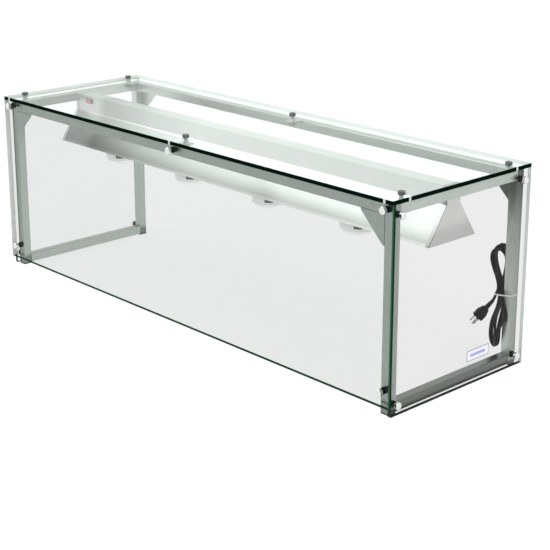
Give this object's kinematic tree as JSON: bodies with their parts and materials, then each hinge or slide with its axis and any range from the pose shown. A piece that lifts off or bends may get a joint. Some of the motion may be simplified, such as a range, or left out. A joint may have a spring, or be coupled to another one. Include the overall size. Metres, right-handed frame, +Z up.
{
  "type": "hot food display case",
  "caption": "Counter-top heated display case: glass panes on a stainless tube frame, open at the back, with a reflector lamp hood, rocker switch and tied power cord.",
  "frame": {"origin": "centre of the outer footprint, on the counter the rubber feet stand on", "axes": "+X to the right end with the power cord, -Y is the customer's side with the front pane, +Y is the open back, +Z is up"},
  "size_m": [1.54, 0.495, 0.518],
  "materials": {
    "tube_steel": "brushed stainless",
    "pane_glass": "polished, green edges",
    "cap_steel": "polished",
    "hood_steel": "fine brushed",
    "strip_steel": "fine brushed",
    "holder_ceramic": "glazed white",
    "lamp_face": "frosted face, silvered bowl",
    "lamp_screw": "rolled thread",
    "switch_plastic": "satin black",
    "rocker_plastic": "red",
    "wire_cover": "matte",
    "cord_cover": "satin black",
    "plug_plastic": "moulded black",
    "blade_brass": "bright",
    "tie_plastic": "white",
    "spacer_rubber": "matte",
    "foot_rubber": "matte",
    "label_film": "pale film"
  },
  "bodies": {
    "case": {"post_fl": "tube_steel", "post_fr": "tube_steel", "post_rl": "tube_steel", "post_rr": "tube_steel", "rail_top_front": "tube_steel", "rail_top_rear": "tube_steel", "rail_top_left": "tube_steel", "rail_top_right": "tube_steel", "rail_bottom_left": "tube_steel", "rail_bottom_right": "tube_steel", "gusset_fl": "tube_steel", "gusset_fr": "tube_steel", "gusset_rl": "tube_steel", "gusset_rr": "tube_steel", "tab_front": "tube_steel", "tab_rear": "tube_steel", "foot_fl": "foot_rubber", "foot_fr": "foot_rubber", "foot_rl": "foot_rubber", "foot_rr": "foot_rubber", "glass_top": "pane_glass", "glass_front": "pane_glass", "glass_left": "pane_glass", "glass_right": "pane_glass", "caps_top": "cap_steel", "caps_front": "cap_steel", "caps_sides": "cap_steel", "spacers_top": "spacer_rubber", "spacers_front": "spacer_rubber", "spacers_sides": "spacer_rubber", "hood_shell": "hood_steel", "hood_end_left": "hood_steel", "hood_end_right": "hood_steel", "lamp_strip": "strip_steel", "holder_1": "holder_ceramic", "holder_2": "holder_ceramic", "holder_3": "holder_ceramic", "holder_4": "holder_ceramic", "lamp_1": "lamp_face", "lamp_2": "lamp_face", "lamp_3": "lamp_face", "lamp_4": "lamp_face", "lamp_base_1": "lamp_screw", "lamp_base_2": "lamp_screw", "lamp_base_3": "lamp_screw", "lamp_base_4": "lamp_screw", "switch_body": "switch_plastic", "wire_run": "wire_cover", "cord_gland": "cord_cover", "cord_lead": "cord_cover", "cord_hank": "cord_cover", "cord_tail": "cord_cover", "plug_body": "plug_plastic", "plug_blades": "blade_brass", "cord_tie": "tie_plastic", "label": "label_film"},
    "rocker": {"switch_rocker": "rocker_plastic"}
  },
  "joints": [
    {"name": "switch_rock", "type": "hinge", "parent": "case", "child": "rocker", "pos_m": [-0.658, -0.009, 0.479], "axis": [0, 0, 1], "range_deg": [0, 20]}
  ]
}
